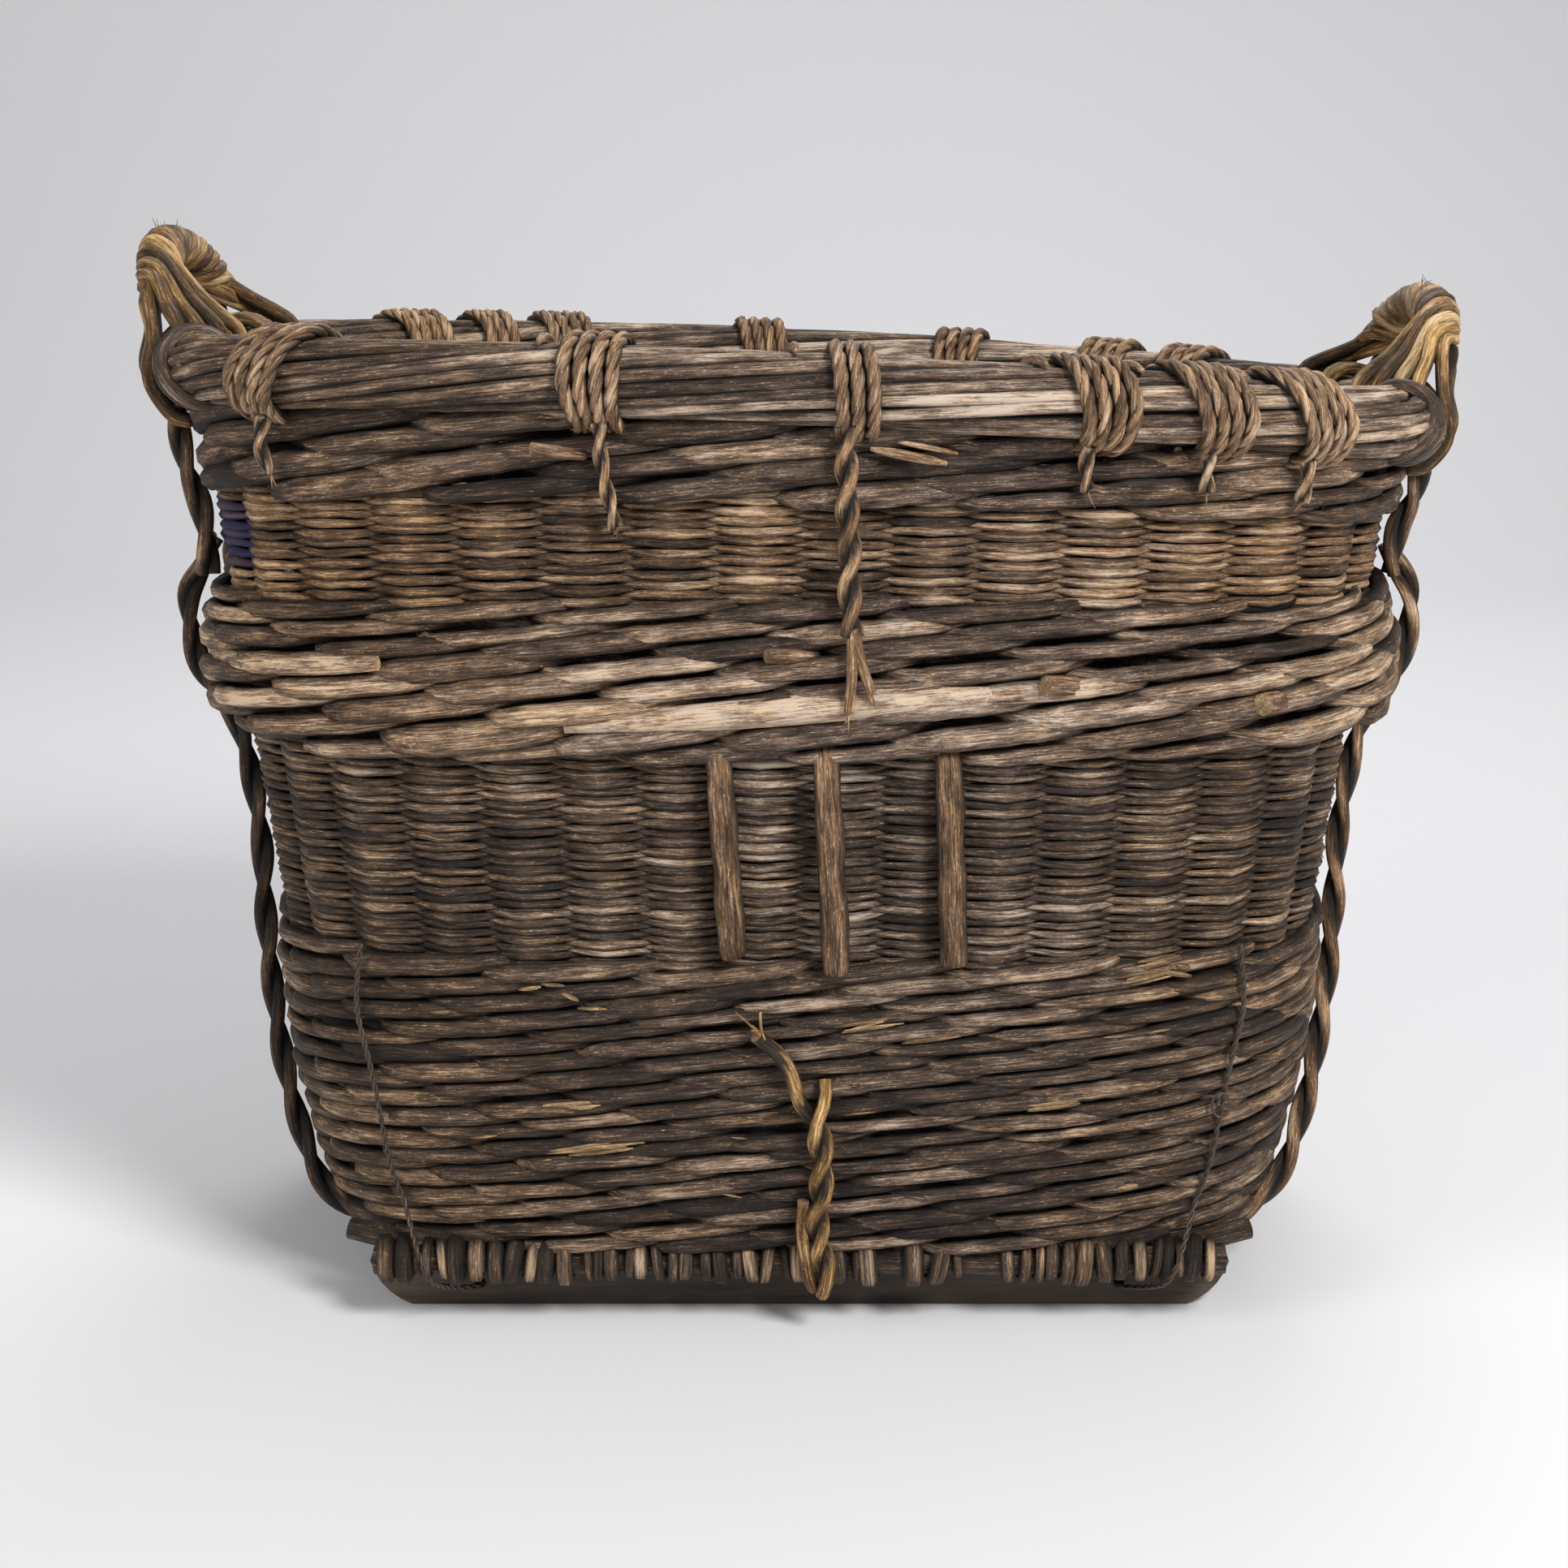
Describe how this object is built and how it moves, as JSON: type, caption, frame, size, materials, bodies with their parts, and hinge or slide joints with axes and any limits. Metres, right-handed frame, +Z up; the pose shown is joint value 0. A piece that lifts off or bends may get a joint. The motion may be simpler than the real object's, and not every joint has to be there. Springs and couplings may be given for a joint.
{
  "type": "grape harvest basket",
  "caption": "Large flared oblong willow harvest basket on two wooden runners, with a lashed roll border and two roped end handles.",
  "frame": {"origin": "on the floor under the middle of the basket", "axes": "+X from the left end to the right end as seen from the front, +Y from front to back, +Z up"},
  "size_m": [0.8488, 0.5866, 0.6773],
  "materials": {
    "willow_dark": "weathered bark-on willow, almost charcoal, dry and matt, with pale worn ridges",
    "willow_grey": "weathered grey-brown willow rods, dry and matt",
    "willow_warm": "weathered willow with warm ochre patches, matt",
    "willow_tie": "twisted willow ties, tan, satin where they are rubbed",
    "willow_gold": "roped willow, golden ochre, rubbed smooth by hands",
    "runner_wood": "dark rough-sawn board with worn pale edges",
    "iron_wire": "dull annealed iron wire, lightly rusted"
  },
  "bodies": {
    "root": {"runner_front": "runner_wood", "runner_back": "runner_wood", "base_stick_1": "runner_wood", "base_stick_2": "runner_wood", "base_stick_3": "runner_wood", "base_stick_4": "runner_wood", "base_stick_5": "runner_wood", "base_weave": "willow_dark", "base_edge_stick_front": "willow_dark", "base_edge_stick_back": "willow_dark", "lower_wale": "willow_dark", "middle_weave": "willow_grey", "middle_wale": "willow_grey", "upper_weave": "willow_warm", "upper_wale": "willow_grey", "rim_border": "willow_grey", "upright_stick_left": "willow_warm", "upright_stick_centre": "willow_warm", "upright_stick_right": "willow_warm", "handle_left": "willow_gold", "handle_right": "willow_gold", "handle_wrap_left_front": "willow_gold", "handle_wrap_left_back": "willow_gold", "handle_wrap_right_front": "willow_gold", "handle_wrap_right_back": "willow_gold", "rim_lashing_front_1": "willow_tie", "rim_lashing_front_2": "willow_tie", "rim_lashing_front_3": "willow_tie", "rim_lashing_front_4": "willow_tie", "rim_lashing_front_5": "willow_tie", "rim_lashing_front_6": "willow_tie", "rim_lashing_back_1": "willow_tie", "rim_lashing_back_2": "willow_tie", "rim_lashing_back_3": "willow_tie", "rim_lashing_back_4": "willow_tie", "rim_lashing_back_5": "willow_tie", "rim_lashing_back_6": "willow_tie", "rim_lashing_back_7": "willow_tie", "end_rope_upper_left_front": "willow_warm", "end_rope_upper_left_back": "willow_warm", "end_rope_upper_right_front": "willow_warm", "end_rope_upper_right_back": "willow_warm", "end_rope_lower_left_front": "willow_warm", "end_rope_lower_left_back": "willow_warm", "end_rope_lower_right_front": "willow_warm", "end_rope_lower_right_back": "willow_warm", "lashing_tail_long": "willow_gold", "base_tie": "willow_gold", "runner_wire_left_front": "iron_wire", "runner_wire_left_back": "iron_wire", "runner_wire_right_front": "iron_wire", "runner_wire_right_back": "iron_wire"}
  },
  "joints": []
}
